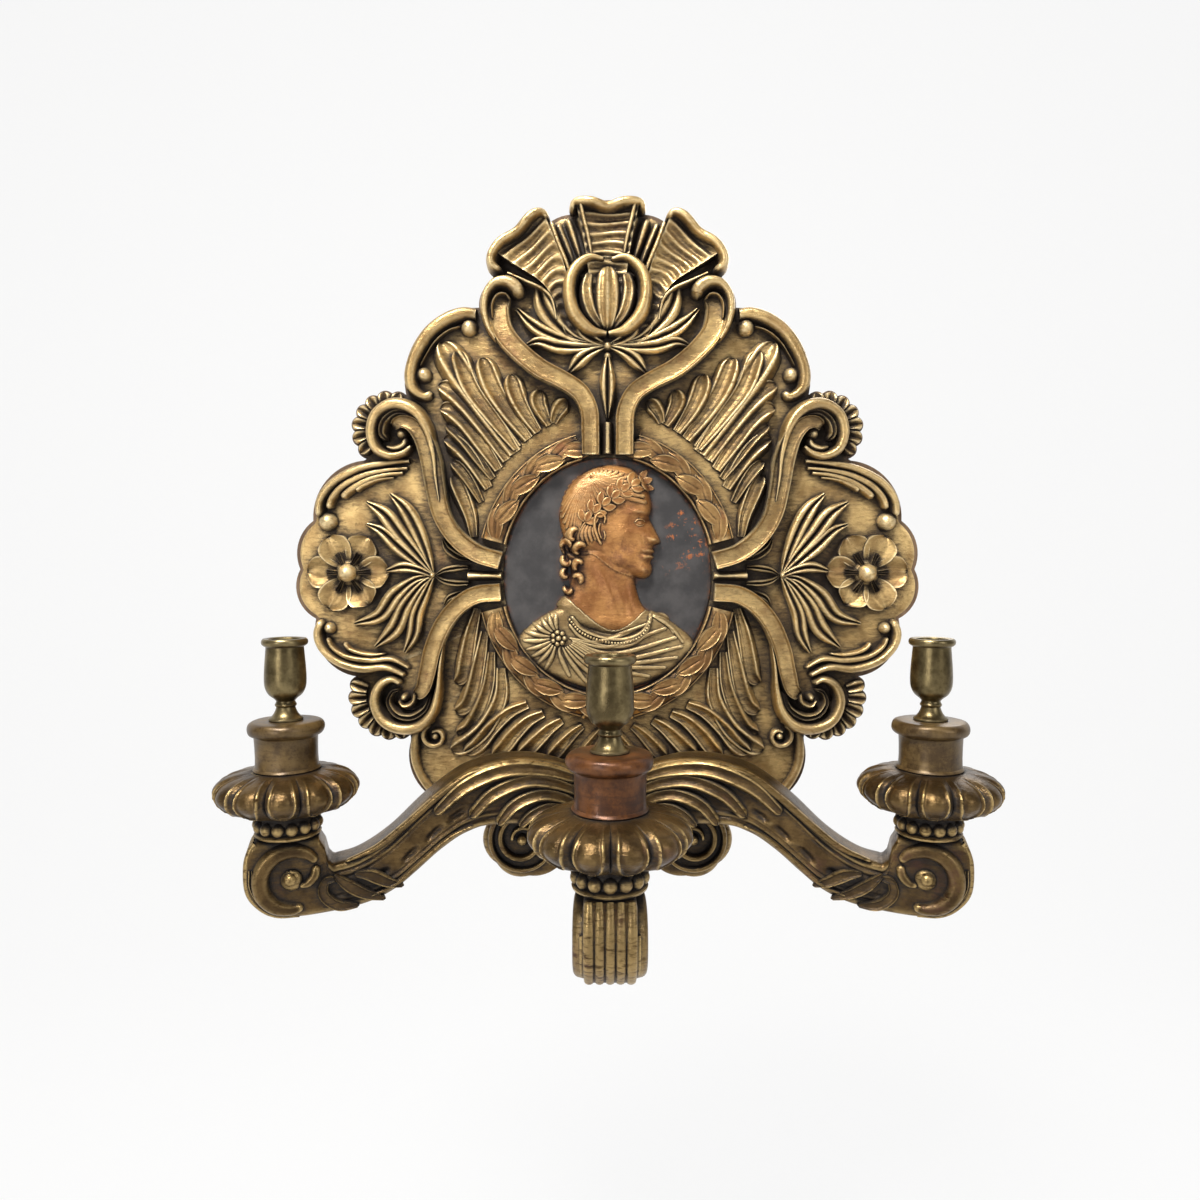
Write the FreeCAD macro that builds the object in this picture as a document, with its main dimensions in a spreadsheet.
"""Girandole: a carved wall sconce with a portrait medallion and three candle arms.

Frame: millimetres, +Z up, the front faces -Y. The wall is the plane Y = 0, and the origin is the
point of the wall behind the centre of the medallion.
"""
import FreeCAD
import Part
import math
import os

from FreeCAD import Placement, Rotation, Vector

doc = FreeCAD.newDocument("girandole")

# ---------------------------------------------------------------- driving dimensions
SIZES = {
    # carved back
    "board_thickness": 24,
    "plaque_half_width": 90,
    "plaque_half_height": 102,
    "plaque_thickness": 7,
    "plaque_recess": 5,
    "bust_relief": 16,
    "wreath_width": 24,
    "wreath_relief": 15,
    "strap_width": 16,
    "strap_relief": 16,
    "volute_relief": 19,
    "rim_width": 11,
    "rim_relief": 11,
    "fan_relief": 9,
    "flower_radius": 36,
    "flower_relief": 11,
    "flower_eye_radius": 9,
    "leaf_relief": 9,
    "shell_relief": 9,
    "rib_relief": 15,
    "lip_relief": 22,
    "tulip_relief": 18,
    "fit_gap": 0.3,
    # arms and what they carry
    "block_depth": 34,
    "arm_width": 36,
    "side_cup_x": 248,
    "side_cup_y": 120,
    "centre_cup_y": 232,
    "side_root_x": 24,
    "cup_top_z": -108,
    "drum_height": 38,
    "drum_radius": 23.5,
    "drum_rim_radius": 28.7,
    "drum_rim_height": 11,
    "pan_radius": 56.5,
    "pan_height": 33,
    "pan_lobes": 12,
    "collar_radius": 26,
    "collar_height": 18,
    "volute_radius": 30.5,
    "rod_radius": 3,
    "rod_gap": 0.15,
    "bolt_radius": 3,
    "bolt_head_radius": 6,
    "bolt_grip": 14,
    # brass nozzle
    "nozzle_height": 63,
    "nozzle_rim_radius": 17.2,
    "nozzle_body_radius": 15.6,
    "nozzle_stem_radius": 6.9,
    "nozzle_foot_radius": 12.7,
    "candle_radius": 11.4,
    "candle_depth": 30,
    "spigot_radius": 4.5,
    "spigot_length": 22,
    "spigot_gap": 0.1,
    # hanging plate
    "hanger_height": 200,
    "hanger_width": 44,
    "hanger_tall": 26,
    "hanger_thickness": 2,
    "hanger_hole_radius": 4.5,
    "hanger_clearance": 9,
}
sheet = doc.addObject("Spreadsheet::Sheet", "sizes")
for row, (alias, number) in enumerate(SIZES.items(), start=1):
    sheet.set(f"A{row}", alias)
    sheet.set(f"B{row}", str(number))
    sheet.setAlias(f"B{row}", alias)
doc.recompute()


def size(alias):
    return float(sheet.get(alias))


BOARD = size("board_thickness")
GAP = size("fit_gap")
LEFT_RIGHT = (("left", -1), ("right", 1))
parts = []


# ---------------------------------------------------------------- helpers
def keep(feature, node):
    feature.Label = node
    parts.append(feature)
    return feature


def new_body(name, seat=None):
    """A body whose local Y = 0 is its seat; seat is an expression for how far it stands off the wall."""
    body = doc.addObject("PartDesign::Body", name)
    if seat:
        body.setExpression("Placement.Base.y", f"-({seat})")
    return body


def plane_of(body, role):
    return next(f for f in body.Origin.OriginFeatures if f.Role == role)


def sketch_on(body, name, role="XZ_Plane", lift=None):
    """A sketch on an origin plane of the body, lifted along its normal by an expression."""
    sketch = body.newObject("Sketcher::SketchObject", name)
    sketch.AttachmentSupport = [(plane_of(body, role), "")]
    sketch.MapMode = "FlatFace"
    if lift:
        sketch.setExpression("AttachmentOffset.Base.z", lift)
    return sketch


def smooth(points):
    curve = Part.BSplineCurve()
    curve.interpolate(points)
    return curve


def flat(point, side=1):
    return Vector(point[0] * side, point[1], 0)


def draw(sketch, start, spans, side=1):
    """Closed outline from start. A span of one point is a line, of two an arc, of more a smooth curve."""
    here = flat(start, side)
    for span in spans:
        path = [here] + [flat(point, side) for point in span]
        if len(path) == 2:
            sketch.addGeometry(Part.LineSegment(*path))
        elif len(path) == 3:
            sketch.addGeometry(Part.Arc(*path))
        else:
            sketch.addGeometry(smooth(path))
        here = path[-1]


def circle(sketch, centre, radius, side=1):
    sketch.addGeometry(Part.Circle(flat(centre, side), Vector(0, 0, 1), radius))


def pad(body, sketch, length):
    feature = body.newObject("PartDesign::Pad", sketch.Name + "_pad")
    feature.Profile = sketch
    feature.setExpression("Length", length)
    sketch.Visibility = False
    return feature


def pocket(body, sketch, depth):
    feature = body.newObject("PartDesign::Pocket", sketch.Name + "_cut")
    feature.Profile = sketch
    feature.setExpression("Length", depth)
    return feature


def relief(body, name, start, spans, height, side=1):
    sketch = sketch_on(body, name)
    draw(sketch, start, spans, side)
    return pad(body, sketch, height)


def disc(body, name, centre, radius, height, side=1):
    sketch = sketch_on(body, name)
    circle(sketch, centre, radius, side)
    return pad(body, sketch, height)


def band_spans(route, half_width):
    """Start and spans of a strap of even width along a smooth route."""
    spine = smooth([flat(point) for point in route])
    near, far = [], []
    for point in route:
        along = spine.tangent(spine.parameter(flat(point)))[0]
        across = Vector(-along.y, along.x, 0) * half_width
        near.append((point[0] + across.x, point[1] + across.y))
        far.append((point[0] - across.x, point[1] - across.y))
    far.reverse()
    return near[0], [near[1:], far[:1], far[1:], near[:1]]


def strap(body, name, route, width, height, side):
    start, spans = band_spans(route, size(width) / 2)
    return relief(body, name, start, spans, f"sizes.{height}", side)


def polar(centre, radius, degrees):
    angle = math.radians(degrees)
    return (centre[0] + radius * math.cos(angle), centre[1] + radius * math.sin(angle))


def arc_span(centre, radius, start, end):
    return [polar(centre, radius, (start + end) / 2), polar(centre, radius, end)]


GROOVE_INNER = 0.42
GROOVE_OUTER = 0.66
GROOVE_DEPTH = 5
EYE_SHARE = 0.3
EYE_PROUD = 2.5


def volute(body, name, centre, radius, side, opening, height="volute_relief"):
    """Round scroll end: a disc with a C-shaped groove, open towards the angle given, and a raised eye."""
    disc(body, name, centre, radius, f"sizes.{height}", side)
    groove = sketch_on(body, name + "_groove", lift=f"sizes.{height}")
    inner, outer = radius * GROOVE_INNER, radius * GROOVE_OUTER
    first, last = opening + 50, opening + 310
    start = polar(centre, inner, first)
    spans = [
        arc_span(centre, inner, first, last),
        [polar(centre, outer, last)],
        arc_span(centre, outer, last, first),
        [start],
    ]
    draw(groove, start, spans, side)
    pocket(body, groove, str(GROOVE_DEPTH))
    disc(body, name + "_eye", centre, radius * EYE_SHARE, f"sizes.{height} + {EYE_PROUD}", side)


def scallops(centre, radius, rise, first, last, count):
    """Arcs bulging outwards by rise between cusps that lie on a circle."""
    step = (last - first) / count
    spans = []
    for number in range(count):
        middle = first + step * (number + 0.5)
        end = first + step * (number + 1)
        spans.append([polar(centre, radius + rise, middle), polar(centre, radius, end)])
    return spans


def leaf(body, name, root, tip, bend, width, height, side):
    """Pointed leaf between root and tip, whose middle line is bent sideways."""
    along = Vector(tip[0] - root[0], tip[1] - root[1], 0)
    across = Vector(-along.y, along.x, 0).normalize()
    middle = Vector((root[0] + tip[0]) / 2, (root[1] + tip[1]) / 2, 0)
    upper = middle + across * (bend + width / 2)
    lower = middle + across * (bend - width / 2)
    spans = [[(upper.x, upper.y), tip], [(lower.x, lower.y), root]]
    return relief(body, name, root, spans, height, side)


def placed(shape_type, name, base, **bindings):
    """Primitive or tool solid at a place given by three expressions or numbers."""
    tool = doc.addObject(shape_type, name)
    for axis, value in zip("xyz", base):
        tool.setExpression(f"Placement.Base.{axis}", str(value))
    for key, value in bindings.items():
        tool.setExpression(key, str(value))
    return tool


def cut(name, base, tools):
    """Base less every tool, one after another."""
    result = base
    for number, tool in enumerate(tools, start=1):
        step = doc.addObject("Part::Cut", f"{name}_cut{number}")
        step.Base = result
        step.Tool = tool
        result = step
    return result


# ---------------------------------------------------------------- back panel
CREST_EDGE = [
    [(22, 320)],
    [(27, 315), (27, 308)],
    [(41, 306), (53, 298)],
    [(62, 304), (71, 296)],
    [(90, 280)],
    [(98, 269), (97, 254)],
    [(107, 244), (110, 230)],
]
SHOULDER_EDGE = [[(163, 203), (174.4, 164)]]
UPPER_FAN = {"centre": (187, 126), "radius": 31, "first": 117, "last": -50}
RIM_EDGE = [[(243, 83), (255, 48)]]
FLOWER_EDGE = [[(269, 26), (267, 6)], [(269, -20), (254, -37)]]
LOWER_RIM_EDGE = [[(249, -68), (217, -88)]]
LOWER_FAN = {"centre": (188, -105), "radius": 36, "first": 28, "last": -114}
BASE_EDGE = [[(173, -168), (148, -198)], [(130, -207), (106, -209)], [(60, -236), (0, -242)]]
SCALLOP_RISE = 3
SCALLOP_COUNT = 7


def fan_edge(fan):
    return scallops(
        fan["centre"], fan["radius"], SCALLOP_RISE, fan["first"], fan["last"], SCALLOP_COUNT
    )


def board_spans():
    upper = fan_edge(UPPER_FAN)
    lower = fan_edge(LOWER_FAN)
    upper_start = polar(UPPER_FAN["centre"], UPPER_FAN["radius"], UPPER_FAN["first"])
    lower_start = polar(LOWER_FAN["centre"], LOWER_FAN["radius"], LOWER_FAN["first"])
    return (
        CREST_EDGE + SHOULDER_EDGE + [[upper_start]] + upper + [[(210, 100)]] + RIM_EDGE
        + FLOWER_EDGE + LOWER_RIM_EDGE + [[lower_start]] + lower + [[(172, -143)]] + BASE_EDGE
    )


def mirrored_back(start, spans):
    """The same spans run backwards on the other side of the middle line."""
    ends = [start] + [span[-1] for span in spans]
    result = []
    for number in range(len(spans) - 1, -1, -1):
        inner = list(reversed(spans[number][:-1]))
        result.append([(-x, z) for x, z in inner] + [(-ends[number][0], ends[number][1])])
    return result


BOLT_PLACES = [(-44, -176), (44, -176), (0, -184)]
BOLT_HEAD_DEPTH = 7


def cylinder_along_y(name, x, y, z, radius, length):
    """Cylinder that starts at y and runs towards -Y."""
    tool = placed("Part::Cylinder", name, (x, y, z), Radius=radius, Height=length)
    tool.Placement = Placement(Vector(x, 0, 0), Rotation(Vector(1, 0, 0), 90))
    tool.setExpression("Placement.Base.x", str(x))
    tool.setExpression("Placement.Base.y", str(y))
    tool.setExpression("Placement.Base.z", str(z))
    return tool


def back_panel():
    body = new_body("panel_body")
    outline = sketch_on(body, "panel_outline")
    top = (0, 320)
    spans = board_spans()
    draw(outline, top, spans + mirrored_back(top, spans))
    pad(body, outline, "sizes.board_thickness")
    recess = sketch_on(body, "plaque_seat", lift="sizes.board_thickness")
    recess.addGeometry(plaque_ellipse(GAP))
    pocket(body, recess, "sizes.plaque_recess")
    slot = sketch_on(body, "hanger_seat")
    half, tall = size("hanger_width") / 2, size("hanger_tall") / 2
    height = size("hanger_height")
    corner = (half + GAP, height - tall - GAP)
    draw(slot, corner, rectangle_spans(half + GAP, height - tall - GAP, height + tall + GAP))
    seat = pocket(body, slot, "sizes.hanger_thickness")
    seat.Reversed = True
    hollow = sketch_on(body, "hook_hollow")
    reach = size("hanger_hole_radius") + 6
    draw(hollow, (reach, height - reach), rectangle_spans(reach, height - reach, height + reach))
    room = pocket(body, hollow, "sizes.hanger_thickness + sizes.hanger_clearance")
    room.Reversed = True
    tools = []
    for number, (x, z) in enumerate(BOLT_PLACES):
        radius = "sizes.bolt_radius + sizes.rod_gap"
        tools.append(
            cylinder_along_y(f"bolt_way{number}", x, 1, z, radius, "sizes.board_thickness + 2")
        )
        radius = "sizes.bolt_head_radius + 1"
        tools.append(cylinder_along_y(f"head_way{number}", x, 1, z, radius, BOLT_HEAD_DEPTH + 1))
    for number, (x, z) in enumerate(SCREW_PLACES):
        radius = f"{SCREW_RADIUS} + sizes.rod_gap"
        z = f"sizes.hanger_height + {z}"
        tools.append(cylinder_along_y(f"screw_way{number}", x, 1, z, radius, SCREW_LENGTH + 1.5))
    keep(cut("panel", body, tools), "back_panel")


def rectangle_spans(half, bottom, top):
    return [[(half, top)], [(-half, top)], [(-half, bottom)], [(half, bottom)]]


def plaque_ellipse(grow):
    wide = size("plaque_half_width") + grow
    tall = size("plaque_half_height") + grow
    return Part.Ellipse(Vector(0, tall, 0), Vector(wide, 0, 0), Vector(0, 0, 0))


SCREW_PLACES = [(-16, 0), (16, 0)]
SCREW_LENGTH = 14
SCREW_RADIUS = 1.5
SCREW_HEAD_RADIUS = 3


# ---------------------------------------------------------------- medallion
def medallion():
    body = new_body("plaque_body", "sizes.board_thickness - sizes.plaque_recess")
    outline = sketch_on(body, "plaque_outline")
    outline.addGeometry(plaque_ellipse(0))
    pad(body, outline, "sizes.plaque_thickness")
    keep(body, "medallion_plaque")

    seat = "sizes.board_thickness - sizes.plaque_recess + sizes.plaque_thickness"
    bust = new_body("bust_body", seat)
    relief(bust, "shoulders", (-74, -50), SHOULDER_SPANS, "sizes.bust_relief * 0.7")
    relief(bust, "head_and_neck", (-24, -34), HEAD_SPANS, "sizes.bust_relief * 0.8")
    disc(bust, "hair_mass", (-2, 55), 33, "sizes.bust_relief")
    keep(bust, "portrait_bust")


SHOULDER_SPANS = [
    [(-50, -36), (-24, -30)],
    [(22, -30)],
    [(48, -40), (74, -52)],
    [(50, -80), (0, -97)],
    [(-50, -80), (-74, -50)],
]
HEAD_SPANS = [
    [(-22, -12), (-28, 14)],
    [(-38, 52), (-2, 92)],
    [(30, 84), (36, 56)],
    [(37, 44), (42, 32)],
    [(38, 14), (30, 4)],
    [(20, -2), (18, -12)],
    [(18, -26), (24, -34)],
    [(-24, -34)],
]


def laurel_wreath():
    body = new_body("wreath_body", "sizes.board_thickness")
    ring = sketch_on(body, "wreath_ring")
    ring.addGeometry(plaque_ellipse(GAP))
    ring.addGeometry(plaque_ellipse(size("wreath_width")))
    base = pad(body, ring, "sizes.wreath_relief * 0.5")
    crown = sketch_on(body, "wreath_crown")
    step = size("wreath_width") / 4
    crown.addGeometry(plaque_ellipse(step))
    crown.addGeometry(plaque_ellipse(size("wreath_width") - step))
    pad(body, crown, "sizes.wreath_relief")
    tall = size("strap_width") * 2 + STRAP_END_GAP + STRAP_FLARE
    side_gap = doc.addObject("Part::Box", "wreath_side_gap")
    side_gap.Length = 400
    side_gap.Width = 60
    side_gap.Height = tall
    side_gap.Placement.Base = Vector(-200, -BOARD - 40, SIDE_STRAP_MIDDLE - tall / 2)
    wide = 2 * CREST_END_X + size("strap_width") + 4 * GAP
    top_gap = doc.addObject("Part::Box", "wreath_top_gap")
    top_gap.Length = wide
    top_gap.Width = 60
    top_gap.Height = 80
    top_gap.Placement.Base = Vector(-wide / 2, -BOARD - 40, 70)
    keep(cut("wreath", body, [side_gap, top_gap]), "laurel_wreath")


# ---------------------------------------------------------------- crest
def tulip_outline():
    bowl = [[(17, 274), (35, 258)], [(32, 228), (4, 204)]]
    start = (0, 264)
    return start, bowl + [[(-4, 204)]] + mirrored_back(start, bowl)


SHELL_EDGE = [
    [(21, 319)],
    [(26, 314), (26, 307)],
    [(40, 305), (52.5, 296.5)],
    [(62, 302), (70, 295)],
    [(89, 279)],
    [(96.5, 269), (95.5, 257)],
    [(68, 257), (44, 232)],
    [(34, 238)],
]


TULIP_MIDDLE = 236
TULIP_HALF = 35


def tulip_room(body, name, height):
    """Clears the tulip's outline, a little larger, out of a piece that lies behind it."""
    hollow = sketch_on(body, name, lift=height)
    start, spans = tulip_outline()
    grown = 1 + 2 * GAP / TULIP_HALF

    def grow(point):
        return (point[0] * grown, TULIP_MIDDLE + (point[1] - TULIP_MIDDLE) * grown)

    draw(hollow, grow(start), [[grow(point) for point in span] for span in spans])
    pocket(body, hollow, f"{height} + 1")


def crest_shell():
    body = new_body("shell_body", "sizes.board_thickness")
    top = (0, 319)
    spans = SHELL_EDGE + [[(0, 238)]]
    half = spans[:-1]
    base = sketch_on(body, "shell_fan")
    draw(base, top, half + [[(-34, 238)]] + mirrored_back(top, half))
    pad(body, base, "sizes.shell_relief")
    rib = [[(23, 309)], [(-23, 309)], [(-13, 270)], [(13, 270)]]
    relief(body, "centre_rib", (13, 270), rib, "sizes.rib_relief")
    lip = [[(26, 309), (25.5, 307)], [(-25.5, 307)], [(-26, 309), (-21, 319)], [(21, 319)]]
    relief(body, "centre_lip", (21, 319), lip, "sizes.lip_relief")
    for name, side in LEFT_RIGHT:
        rib = [[(61, 293)], [(88, 266)], [(66, 254), (46, 236)], [(38, 250)]]
        relief(body, f"rib_{name}", (38, 250), rib, "sizes.rib_relief", side)
        lip = [
            [(62, 302), (70, 295)],
            [(89, 279)],
            [(96.5, 269), (95.5, 257)],
            [(88, 262)],
            [(84, 271), (61, 289)],
            [(52.5, 296.5)],
        ]
        relief(body, f"lip_{name}", (52.5, 296.5), lip, "sizes.lip_relief", side)
    tulip_room(body, "shell_room", "sizes.lip_relief")
    keep(body, "crest_shell")


def crest_ornaments():
    tulip = new_body("tulip_body", "sizes.board_thickness")
    start, spans = tulip_outline()
    relief(tulip, "tulip_bowl", start, spans, "sizes.tulip_relief * 0.7")
    petal = [
        [(12, 262), (22, 250)],
        [(20, 226), (0, 208)],
        [(-20, 226), (-22, 250)],
        [(-12, 262), (0, 254)],
    ]
    relief(tulip, "tulip_petal", (0, 254), petal, "sizes.tulip_relief")
    keep(tulip, "crest_tulip")

    spray = new_body("spray_body", "sizes.board_thickness")
    disc(spray, "spray_knot", (0, 197), 5, "sizes.leaf_relief + 2")
    tips = [((60, 240), 5, 15), ((72, 221), 4, 15), ((60, 200), 1, 13), ((31, 180), -2, 13)]
    tips.append(((31, 221), 2, 13))
    for name, side in LEFT_RIGHT:
        for number, (tip, bend, width) in enumerate(tips):
            leaf(spray, f"spray_{name}{number}", (1, 197), tip, -bend, width, "sizes.leaf_relief", side)
    tulip_room(spray, "spray_room", "sizes.leaf_relief")
    keep(spray, "crest_leaf_spray")

    drop = new_body("drop_body", "sizes.board_thickness")
    leaf(drop, "husk", (0, 134), (0, 190), 0, 13, "sizes.leaf_relief + 2", 1)
    keep(drop, "crest_husk_drop")

    clasp = new_body("clasp_body", "sizes.board_thickness")
    half = CREST_END_X - size("strap_width") / 2 - CLASP_GAP
    relief(clasp, "clasp", (half, 105), rectangle_spans(half, 105, 131), "sizes.strap_relief * 0.75")
    keep(clasp, "top_clasp")


# ---------------------------------------------------------------- side ornaments
CREST_END_X = 14.5
CLASP_GAP = 1.4
CREST_STRAP = [
    (99, 236), (95, 216), (82, 199), (60, 180), (40, 170),
    (23, 157), (15.5, 141), (CREST_END_X, 124), (CREST_END_X, 104),
]
CREST_VOLUTE = ((90, 237), 16.5)
SHOULDER = [(114, 223), (134, 221), (151, 211), (163, 194), (168, 176), (163, 160), (153, 155)]
UPPER_STRAP = [
    (184, 143), (167, 139), (155, 124), (149, 105), (146, 76), (141, 52), (129, 33), (112, 20), (92, 13.5),
]
UPPER_VOLUTE = ((183, 126), 25)
STRAP_END_GAP = 10
STRAP_FLARE = 15
SIDE_STRAP_MIDDLE = 0.5
LOWER_STRAP = [(92, -13.5), (112, -15.5), (128, -25), (141, -41), (150, -62), (154, -84), (156, -106)]
LOWER_VOLUTE = ((182, -106), 28)
UPPER_RIM = [(178, 93), (192, 94), (210, 91), (228, 84), (242, 71), (248, 54)]
LOWER_RIM = [(248, -44), (248, -57), (239, -68), (220, -75), (200, -73), (184, -69)]
FLOWER_CENTRE = (224, 3)
PETALS = 6
PALM_ROOT = (151, 1)
PALM_TIPS = [
    ((187, 70), 9, 15), ((207, 63), 8, 15), ((204, 48), 7, 12),
    ((213, -48), -4, 12), ((201, -62), -8, 14), ((177, -66), -8, 14),
]
SHOULDER_BALLS = [((119, 213), 7), ((157, 174), 6.5)]


def side_ornaments(name, side):
    crest = new_body(f"crest_strap_body_{name}", "sizes.board_thickness")
    strap(crest, f"crest_strap_{name}_band", CREST_STRAP, "strap_width", "strap_relief", side)
    volute(crest, f"crest_strap_{name}_volute", *CREST_VOLUTE, side, -60)
    keep(crest, f"crest_strap_{name}")

    shoulder = new_body(f"shoulder_body_{name}", "sizes.board_thickness")
    strap(shoulder, f"shoulder_{name}_band", SHOULDER, "rim_width", "rim_relief", side)
    for number, (centre, radius) in enumerate(SHOULDER_BALLS):
        disc(shoulder, f"shoulder_{name}_ball{number}", centre, radius, "sizes.rim_relief + 2", side)
    keep(shoulder, f"shoulder_scroll_{name}")

    upper = new_body(f"upper_strap_body_{name}", "sizes.board_thickness")
    strap(upper, f"upper_strap_{name}_band", UPPER_STRAP, "strap_width", "strap_relief", side)
    volute(upper, f"upper_strap_{name}_volute", *UPPER_VOLUTE, side, 150)
    keep(upper, f"upper_strap_{name}")

    lower = new_body(f"lower_strap_body_{name}", "sizes.board_thickness")
    strap(lower, f"lower_strap_{name}_band", LOWER_STRAP, "strap_width", "strap_relief", side)
    volute(lower, f"lower_strap_{name}_volute", *LOWER_VOLUTE, side, 60)
    keep(lower, f"lower_strap_{name}")

    clasp = new_body(f"side_clasp_body_{name}", "sizes.board_thickness")
    half = STRAP_END_GAP / 2 - 2 * GAP
    low, high = SIDE_STRAP_MIDDLE - half, SIDE_STRAP_MIDDLE + half
    start = (91.5, low)
    spans = [[(120, low)], [(136, low - 2)], [(146.5, 1)], [(136, high + 2)], [(120, high)]]
    spans += [[(91.5, high)], [start]]
    relief(clasp, f"side_clasp_{name}_outline", start, spans, "sizes.strap_relief * 0.75", side)
    keep(clasp, f"side_clasp_{name}")

    fans = (("upper", UPPER_FAN, UPPER_VOLUTE, 74), ("lower", LOWER_FAN, LOWER_VOLUTE, 28))
    for level, fan, (centre, radius), first in fans:
        corner = new_body(f"{level}_fan_body_{name}", "sizes.board_thickness")
        whole = SCALLOP_COUNT
        pitch = (fan["last"] - fan["first"]) / whole
        skipped = round((first - fan["first"]) / pitch)
        begin = fan["first"] + pitch * skipped
        edge = fan["radius"] - 1
        spans = scallops(fan["centre"], edge, SCALLOP_RISE, begin, fan["last"], whole - skipped)
        start = polar(fan["centre"], edge, begin)
        spans.append([fan["centre"]])
        spans.append([start])
        relief(corner, f"{level}_fan_{name}_edge", start, spans, "sizes.fan_relief", side)
        room = sketch_on(corner, f"{level}_fan_{name}_room", lift="sizes.fan_relief")
        circle(room, centre, radius + GAP, side)
        pocket(corner, room, "sizes.fan_relief + 1")
        keep(corner, f"{level}_fan_{name}")

    for level, route in (("upper", UPPER_RIM), ("lower", LOWER_RIM)):
        rim = new_body(f"{level}_rim_body_{name}", "sizes.board_thickness")
        strap(rim, f"{level}_rim_{name}_band", route, "rim_width", "rim_relief", side)
        keep(rim, f"{level}_rim_scroll_{name}")

    flower = new_body(f"flower_body_{name}", "sizes.board_thickness")
    reach = size("flower_radius")
    for number in range(PETALS):
        turn = 360 / PETALS * number
        tip = polar(FLOWER_CENTRE, reach, turn)
        before, after = (polar(FLOWER_CENTRE, reach * 0.8, turn + half) for half in (-22, 22))
        spans = [[before], [tip, after], [FLOWER_CENTRE]]
        relief(flower, f"petal_{name}{number}", FLOWER_CENTRE, spans, "sizes.flower_relief", side)
    eye = size("flower_eye_radius")
    disc(flower, f"flower_{name}_eye", FLOWER_CENTRE, eye, "sizes.flower_relief + 6", side)
    keep(flower, f"side_flower_{name}")

    palm = new_body(f"palm_body_{name}", "sizes.board_thickness")
    for number, (tip, bend, width) in enumerate(PALM_TIPS):
        leaf(palm, f"palm_{name}{number}", PALM_ROOT, tip, -bend, width, "sizes.leaf_relief", side)
    disc(palm, f"palm_{name}_knot", PALM_ROOT, 3.5, "sizes.leaf_relief + 2", side)
    keep(palm, f"palm_leaves_{name}")


# ---------------------------------------------------------------- arm block and arms
BLOCK_HALF = [
    [(50, -158), (92, -160)],
    [(101, -182), (100, -207)],
    [(105, -228), (95, -244)],
    [(84, -254), (68, -255)],
    [(50, -252), (40, -243)],
    [(20, -251), (0, -252)],
]
BLOCK_VOLUTE = ((72, -224), 30)
BLOCK_SEAT = "sizes.board_thickness + sizes.block_depth"


def arm_block():
    body = new_body("block_body", "sizes.board_thickness")
    outline = sketch_on(body, "block_outline")
    top = (0, -164)
    draw(outline, top, BLOCK_HALF + mirrored_back(top, BLOCK_HALF))
    pad(body, outline, "sizes.block_depth")
    for name, side in LEFT_RIGHT:
        volute(body, f"block_volute_{name}", *BLOCK_VOLUTE, side, 60, "block_depth")
    tools = []
    for number, (x, z) in enumerate(BOLT_PLACES):
        radius = "sizes.bolt_radius + sizes.rod_gap"
        start = "1 - sizes.board_thickness"
        length = "sizes.block_depth + 2"
        tools.append(cylinder_along_y(f"block_way{number}", x, start, z, radius, length))
    keep(cut("block", body, tools), "arm_block")


ARM_UPPER = [
    (0.13, -149), (0.28, -145.5), (0.46, -152), (0.62, -173), (0.765, -199), (0.886, -214), (1, -220),
]
ARM_LOWER = [(0.88, -255), (0.71, -240), (0.55, -217), (0.44, -204), (0.3, -199), (0, -205)]
SEAT_HALF = 24
ARM_ROOT_TOP = -158


def seat_height():
    """Top of the arm's scroll, where the bead collar stands."""
    return size("cup_top_z") - size("drum_height") - size("pan_height") - size("collar_height")


def arm_spans(reach):
    """Side view of an arm: an S-curve from the block that ends in a scroll under the cup."""
    radius = size("volute_radius")
    neck = reach - radius
    seat = seat_height()
    upper = [(share * neck, z) for share, z in ARM_UPPER]
    lower = [(share * neck, z) for share, z in ARM_LOWER]
    bottom = seat - 2 * radius
    scroll = [
        [(reach - radius, seat - 14), (reach - SEAT_HALF, seat)],
        [(reach + SEAT_HALF, seat)],
        [
            (reach + radius, seat - 16),
            (reach + radius * 0.93, seat - 44),
            (reach + radius * 0.45, bottom + 4),
            (reach - radius * 0.1, bottom),
        ],
    ]
    return (0, ARM_ROOT_TOP), [upper] + scroll + [lower] + [[(0, ARM_ROOT_TOP)]]


def arm_groove(body, name, reach, lift, reverse):
    centre = (reach - 1, seat_height() - size("volute_radius"))
    inner, outer = size("volute_radius") * GROOVE_INNER, size("volute_radius") * GROOVE_OUTER
    groove = sketch_on(body, name, lift=lift)
    first, last = 200, 480
    spans = [
        arc_span(centre, inner, first, last),
        [polar(centre, outer, last)],
        arc_span(centre, outer, last, first),
        [polar(centre, inner, first)],
    ]
    draw(groove, polar(centre, inner, first), spans)
    feature = pocket(body, groove, str(GROOVE_DEPTH))
    feature.Reversed = reverse


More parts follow.
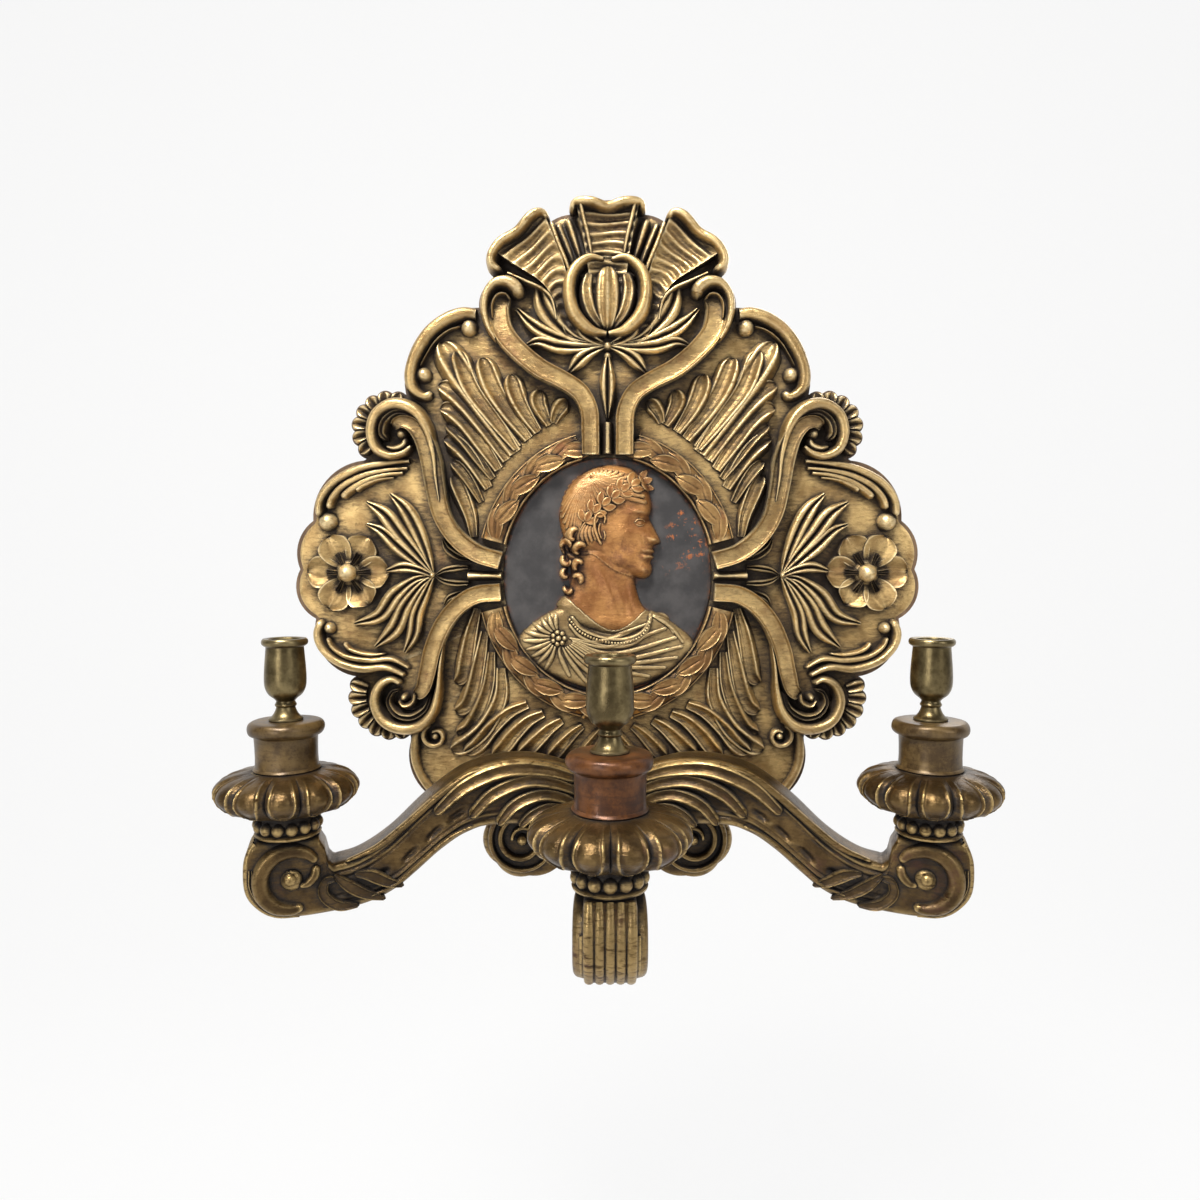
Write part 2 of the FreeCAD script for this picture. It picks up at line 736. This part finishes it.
def arm(name, root_x, cup_x, cup_y):
    root_y = -(BOARD + size("block_depth"))
    along = Vector(cup_x - root_x, -cup_y - root_y, 0)
    reach = along.Length
    body = doc.addObject("PartDesign::Body", f"arm_body_{name}")
    outline = sketch_on(body, f"arm_outline_{name}")
    start, spans = arm_spans(reach)
    draw(outline, start, spans)
    bar = pad(body, outline, "sizes.arm_width")
    bar.Midplane = True
    arm_groove(body, f"arm_groove_front_{name}", reach, "sizes.arm_width / 2", False)
    arm_groove(body, f"arm_groove_back_{name}", reach, "-sizes.arm_width / 2", True)
    heading = math.degrees(math.atan2(along.y, along.x))
    body.Placement = Placement(Vector(root_x, root_y, 0), Rotation(Vector(0, 0, 1), heading))
    tools = []
    if root_x:
        behind = doc.addObject("Part::Box", f"arm_back_{name}")
        behind.Length = 400
        behind.Width = 100
        behind.Height = 200
        behind.Placement.Base = Vector(-200, root_y, -300)
        tools.append(behind)
    rod = placed("Part::Cylinder", f"rod_way_{name}", (cup_x, -cup_y, seat_height() - ROD_GRIP),
                 Radius="sizes.rod_radius + sizes.rod_gap", Height=ROD_GRIP + 5)
    tools.append(rod)
    x, z = next(place for place in BOLT_PLACES if place[0] * root_x > 0 or place[0] == root_x)
    tools.append(
        cylinder_along_y(f"bolt_seat_{name}", x, f"1 - ({BLOCK_SEAT})", z,
                         "sizes.bolt_radius + sizes.rod_gap", "sizes.bolt_grip + 1.3")
    )
    keep(cut(f"arm_{name}_whole", body, tools), f"arm_{name}")


ROD_GRIP = 16


# ---------------------------------------------------------------- turned stack
def turned(name, profile, place, base_z):
    """Closed profile of (radius, height) points turned about the upright axis at a cup's place."""
    body = doc.addObject("PartDesign::Body", f"{name}_body")
    sketch = sketch_on(body, f"{name}_profile")
    draw(sketch, profile[0], [[point] for point in profile[1:]] + [[profile[0]]])
    feature = body.newObject("PartDesign::Revolution", f"{name}_turning")
    feature.Profile = sketch
    feature.ReferenceAxis = (sketch, ["V_Axis"])
    feature.Angle = 360
    body.Placement.Base = Vector(place[0], -place[1], 0)
    body.setExpression("Placement.Base.z", base_z)
    return body


def nozzle_profile():
    rim, wall, stem, foot = (size(f"nozzle_{part}_radius") for part in ("rim", "body", "stem", "foot"))
    tall, candle, deep = size("nozzle_height"), size("candle_radius"), size("candle_depth")
    spigot, drop = size("spigot_radius"), size("spigot_length")
    return [
        (0, -drop), (spigot, -drop), (spigot, 0), (foot, 0), (foot, 3), (stem, 11), (stem, 15),
        (wall, 23), (candle + 2, tall - 9), (rim, tall - 4), (rim - 0.5, tall), (candle, tall),
        (candle, tall - deep), (0, tall - deep),
    ]


def drum_profile():
    wall, rim, tall = size("drum_radius"), size("drum_rim_radius"), size("drum_height")
    bead = size("drum_rim_height")
    rod, socket = size("rod_radius") + size("rod_gap"), size("spigot_radius") + size("spigot_gap")
    depth = size("spigot_length") + 1
    return [
        (rod, 0), (wall, 0), (wall, tall - bead), (rim, tall - bead * 0.7), (rim, tall - bead * 0.3),
        (rim - 2.7, tall), (socket, tall), (socket, tall - depth), (0, tall - depth), (0, DRUM_ROD_GRIP),
        (rod, DRUM_ROD_GRIP),
    ]


DRUM_ROD_GRIP = 8


def pan_profile():
    reach, tall = size("pan_radius"), size("pan_height")
    rod = size("rod_radius") + size("rod_gap")
    seat = size("collar_radius") + 1
    return [
        (rod, 0), (seat, 0), (reach * 0.83, tall * 0.09), (reach, tall * 0.38), (reach, tall * 0.62),
        (reach * 0.84, tall * 0.91), (seat, tall), (rod, tall),
    ]


def collar_profile():
    reach, tall = size("collar_radius"), size("collar_height")
    rod = size("rod_radius") + size("rod_gap")
    return [
        (rod, 0), (reach - 3, 0), (reach, tall * 0.2), (reach, tall * 0.55), (reach - 4, tall * 0.72),
        (reach - 5, tall), (rod, tall),
    ]


LOBE_RISE = 8


def lobed_rim(pan, name):
    """Cuts the pan's edge back to rounded lobes with a cusp between each two."""
    reach, lobes = size("pan_radius"), int(size("pan_lobes"))
    edge = sketch_on(pan, f"pan_lobes_{name}", "XY_Plane", lift="sizes.pan_height + 1")
    circle(edge, (0, 0), reach + 5)
    cusp = polar((0, 0), reach - LOBE_RISE, 0)
    draw(edge, cusp, scallops((0, 0), reach - LOBE_RISE, LOBE_RISE, 0, 360, lobes))
    pocket(pan, edge, "sizes.pan_height + 2")


def stack(name, place):
    keep(turned(f"collar_{name}", collar_profile(), place,
                "sizes.cup_top_z - sizes.drum_height - sizes.pan_height - sizes.collar_height"),
         f"bead_collar_{name}")
    pan = turned(f"pan_{name}", pan_profile(), place,
                 "sizes.cup_top_z - sizes.drum_height - sizes.pan_height")
    lobed_rim(pan, name)
    keep(pan, f"drip_pan_{name}")
    keep(turned(f"drum_{name}", drum_profile(), place, "sizes.cup_top_z - sizes.drum_height"),
         f"candle_drum_{name}")
    keep(turned(f"nozzle_{name}", nozzle_profile(), place, "sizes.cup_top_z"), f"nozzle_{name}")


def compound(name, links, node):
    group = doc.addObject("Part::Compound", name)
    group.Links = links
    keep(group, node)


def hidden_fasteners(places):
    rods = []
    for name, place in places:
        length = f"sizes.collar_height + sizes.pan_height + {DRUM_ROD_GRIP + ROD_GRIP} - 2 * sizes.fit_gap"
        rods.append(placed("Part::Cylinder", f"rod_{name}",
                           (place[0], -place[1], seat_height() - ROD_GRIP + GAP),
                           Radius="sizes.rod_radius", Height=length))
    compound("rods", rods, "cup_rods")
    bolts = []
    for number, (x, z) in enumerate(BOLT_PLACES):
        head = cylinder_along_y(f"bolt_head{number}", x, 4 - BOLT_HEAD_DEPTH, z, "sizes.bolt_head_radius", 4)
        shank = cylinder_along_y(
            f"bolt_shank{number}", x, 1 - BOLT_HEAD_DEPTH, z, "sizes.bolt_radius",
            f"{BLOCK_SEAT} + sizes.bolt_grip - {BOLT_HEAD_DEPTH - 1}")
        bolt = doc.addObject("Part::Fuse", f"bolt{number}")
        bolt.Base, bolt.Tool = head, shank
        bolts.append(bolt)
    compound("bolts", bolts, "arm_bolts")


def hanging_plate():
    plate = placed("Part::Box", "plate_blank",
                   ("-sizes.hanger_width / 2", "-sizes.hanger_thickness",
                    "sizes.hanger_height - sizes.hanger_tall / 2"),
                   Length="sizes.hanger_width", Width="sizes.hanger_thickness", Height="sizes.hanger_tall")
    tools = [cylinder_along_y("hook_hole", 0, 1, "sizes.hanger_height", "sizes.hanger_hole_radius", 9)]
    screws = []
    for number, (x, z) in enumerate(SCREW_PLACES):
        z = f"sizes.hanger_height + {z}"
        for way, radius, depth in (("hole", SCREW_RADIUS, 9), ("sink", SCREW_HEAD_RADIUS, 2)):
            room = f"{radius} + sizes.rod_gap"
            tools.append(cylinder_along_y(f"plate_{way}{number}", x, 1, z, room, depth))
        head = cylinder_along_y(f"screw_head{number}", x, 0, z, SCREW_HEAD_RADIUS, 1)
        shank = cylinder_along_y(f"screw_shank{number}", x, 0, z, SCREW_RADIUS, SCREW_LENGTH)
        screw = doc.addObject("Part::Fuse", f"screw{number}")
        screw.Base, screw.Tool = head, shank
        screws.append(screw)
    keep(cut("plate", plate, tools), "hanging_plate")
    compound("screws", screws, "hanging_screws")


# ---------------------------------------------------------------- assembly and export
CUPS = [
    ("left", (-size("side_cup_x"), size("side_cup_y"))),
    ("centre", (0, size("centre_cup_y"))),
    ("right", (size("side_cup_x"), size("side_cup_y"))),
]
back_panel()
medallion()
laurel_wreath()
crest_shell()
crest_ornaments()
for side_name, side_sign in LEFT_RIGHT:
    side_ornaments(side_name, side_sign)
arm_block()
for cup_name, cup_place in CUPS:
    root = math.copysign(size("side_root_x"), cup_place[0]) if cup_place[0] else 0
    arm(cup_name, root, *cup_place)
    stack(cup_name, cup_place)
hidden_fasteners(CUPS)
hanging_plate()
doc.recompute()

for item in doc.Objects:
    if {"Invalid", "Error"} & set(item.State):
        raise RuntimeError(f"{item.Name}: {item.State}")
os.makedirs("parts", exist_ok=True)
for feature in parts:
    shape = feature.Shape
    if shape.isNull() or not shape.isValid():
        raise RuntimeError(f"{feature.Label}: no valid solid")
    shape.exportStep(f"parts/{feature.Label}.step")
    print(feature.Label, len(shape.Solids), round(shape.Volume))
